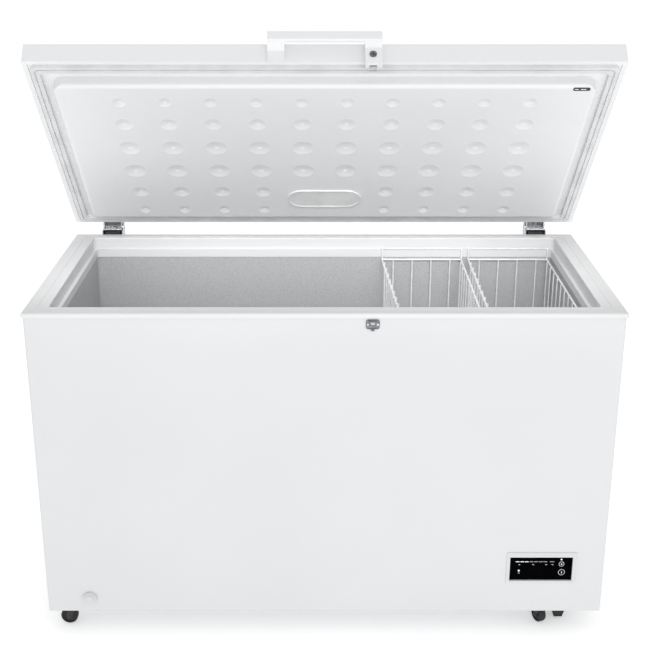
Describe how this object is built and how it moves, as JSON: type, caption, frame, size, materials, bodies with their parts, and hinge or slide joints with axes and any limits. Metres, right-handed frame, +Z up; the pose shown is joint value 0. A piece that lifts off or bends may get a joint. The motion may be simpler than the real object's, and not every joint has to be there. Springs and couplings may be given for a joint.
{
  "type": "chest freezer",
  "caption": "White chest freezer on swivel casters with a spring-hinged lockable lid, hanging wire baskets, front drain and a black control panel.",
  "frame": {"origin": "on the floor, under the middle of the object's whole outline", "axes": "+X to the right seen from the front, +Y to the back, +Z up"},
  "size_m": [1.27, 0.6946, 1.3186],
  "materials": {
    "white_paint": "smooth semi-gloss enamel",
    "white_plastic": "satin moulded plastic",
    "galvanised": "galvanised",
    "liner_metal": "stucco embossed",
    "foam": "rigid foam, matt",
    "copper": "drawn tube",
    "black_paint": "semi-gloss",
    "black_plastic": "moulded, fine grain",
    "black_rubber": "matt",
    "black_glass": "polished",
    "lights": "frosted lens",
    "board": "solder mask",
    "dark_metal": "dark chrome",
    "zinc_steel": "zinc plated",
    "grey_gasket": "soft, matt",
    "opal": "opal, satin",
    "wire_white": "thick plastic coating"
  },
  "bodies": {
    "cabinet": {"outer_wrapper": "white_paint", "back_panel": "galvanised", "base_plate": "galvanised", "insulation_foam": "foam", "inner_liner": "liner_metal", "top_frame": "white_plastic", "evaporator_coil": "copper", "condenser_coil": "black_paint", "compartment_plate": "galvanised", "compressor_tray": "galvanised", "compressor": "black_paint", "compressor_mounts": "black_rubber", "terminal_box": "black_plastic", "filter_drier": "copper", "refrigerant_tubes": "copper", "vent_grille": "white_plastic", "rear_cover": "galvanised", "cover_screws": "zinc_steel", "cord_gland": "black_rubber", "control_bezel": "white_plastic", "control_glass": "black_glass", "control_board": "board", "indicator_lights": "lights", "strike_plate": "dark_metal", "strike_screws": "dark_metal", "drain_tube": "white_plastic", "hinge_bases": "zinc_steel", "hinge_base_screws": "zinc_steel", "hinge_springs": "zinc_steel", "support_foot": "black_rubber", "caster_plates": "zinc_steel"},
    "lid": {"lid_shell": "white_paint", "lid_foam": "foam", "lid_inner_panel": "white_plastic", "lid_gasket": "grey_gasket", "lamp_lens": "opal", "lamp_board": "board", "label_plate": "black_plastic", "lid_handle": "white_plastic", "hinge_leaves": "zinc_steel", "hinge_leaf_screws": "zinc_steel", "latch_pin": "zinc_steel"},
    "lock": {"lock_cylinder": "dark_metal"},
    "hook": {"latch_hook": "dark_metal"},
    "slider_left": {"hinge_slider_left": "black_plastic"},
    "slider_right": {"hinge_slider_right": "black_plastic"},
    "basket_1": {"basket_left": "wire_white"},
    "basket_2": {"basket_right": "wire_white"},
    "cap": {"drain_cap": "white_plastic"},
    "plug": {"drain_plug": "black_rubber"},
    "mode_key": {"button_mode": "black_glass"},
    "set_key": {"button_set": "black_glass"},
    "fork_fl": {"caster_fork_fl": "black_plastic"},
    "wheel_fl": {"caster_wheel_fl": "black_rubber"},
    "fork_fr": {"caster_fork_fr": "black_plastic"},
    "wheel_fr": {"caster_wheel_fr": "black_rubber"},
    "fork_bl": {"caster_fork_bl": "black_plastic"},
    "wheel_bl": {"caster_wheel_bl": "black_rubber"},
    "fork_br": {"caster_fork_br": "black_plastic"},
    "wheel_br": {"caster_wheel_br": "black_rubber"}
  },
  "joints": [
    {"name": "lid_hinge", "type": "hinge", "parent": "cabinet", "child": "lid", "pos_m": [0, 0.33425, 0.78], "axis": [-1, 0, 0], "range_deg": [-45, 40]},
    {"name": "lock_turn", "type": "hinge", "parent": "lid", "child": "lock", "pos_m": [0.1005, -0.15295, 1.27002], "axis": [0, -0.7071, 0.7071], "range_deg": [0, 90]},
    {"name": "hook_swing", "type": "hinge", "parent": "lid", "child": "hook", "pos_m": [0.1005, -0.14729, 1.27002], "axis": [1, 0, 0], "range_deg": [0, 10]},
    {"name": "slider_left", "type": "slide", "parent": "cabinet", "child": "slider_left", "axis": [0, 0, 1], "range_m": [-0.0145, 0.013], "deforming": ["hinge_springs"]},
    {"name": "slider_right", "type": "slide", "parent": "cabinet", "child": "slider_right", "axis": [0, 0, 1], "range_m": [-0.0145, 0.013]},
    {"name": "basket_slide", "type": "slide", "parent": "cabinet", "child": "basket_1", "axis": [-1, 0, 0], "range_m": [0, 0.7]},
    {"name": "basket_lift", "type": "slide", "parent": "cabinet", "child": "basket_2", "axis": [0, 0, 1], "range_m": [0, 0.04]},
    {"name": "cap_pull", "type": "slide", "parent": "cabinet", "child": "cap", "axis": [0, -1, 0], "range_m": [0, 0.03]},
    {"name": "plug_lift", "type": "slide", "parent": "cabinet", "child": "plug", "axis": [0, 0, 1], "range_m": [0, 0.05]},
    {"name": "mode_press", "type": "slide", "parent": "cabinet", "child": "mode_key", "axis": [0, 1, 0], "range_m": [0, 0.0006], "stiffness_N_per_m": 1500},
    {"name": "set_press", "type": "slide", "parent": "cabinet", "child": "set_key", "axis": [0, 1, 0], "range_m": [0, 0.0006], "stiffness_N_per_m": 1500},
    {"name": "swivel_fl", "type": "hinge", "parent": "cabinet", "child": "fork_fl", "pos_m": [-0.5815, -0.30175, 0.045], "axis": [0, 0, 1], "continuous": true},
    {"name": "roll_fl", "type": "hinge", "parent": "fork_fl", "child": "wheel_fl", "pos_m": [-0.5925, -0.30175, 0.0195], "axis": [0, -1, 0], "continuous": true},
    {"name": "swivel_fr", "type": "hinge", "parent": "cabinet", "child": "fork_fr", "pos_m": [0.5045, -0.30675, 0.045], "axis": [0, 0, 1], "continuous": true},
    {"name": "roll_fr", "type": "hinge", "parent": "fork_fr", "child": "wheel_fr", "pos_m": [0.49985, -0.29678, 0.0195], "axis": [-0.9063, -0.4226, 0], "continuous": true},
    {"name": "swivel_bl", "type": "hinge", "parent": "cabinet", "child": "fork_bl", "pos_m": [-0.579, 0.25325, 0.045], "axis": [0, 0, 1], "continuous": true},
    {"name": "roll_bl", "type": "hinge", "parent": "fork_bl", "child": "wheel_bl", "pos_m": [-0.58934, 0.25701, 0.0195], "axis": [-0.342, -0.9397, 0], "continuous": true},
    {"name": "swivel_br", "type": "hinge", "parent": "cabinet", "child": "fork_br", "pos_m": [0.5, 0.25325, 0.045], "axis": [0, 0, 1], "continuous": true},
    {"name": "roll_br", "type": "hinge", "parent": "fork_br", "child": "wheel_br", "pos_m": [0.48966, 0.24949, 0.0195], "axis": [0.342, -0.9397, 0], "continuous": true}
  ],
  "couplings": [
    {"joint": "slider_left", "follows": "lid_hinge", "m_per_rad": 0.0182},
    {"joint": "slider_right", "follows": "lid_hinge", "m_per_rad": 0.0182},
    {"joint": "hook_swing", "follows": "lock_turn", "ratio": 0.1111}
  ]
}
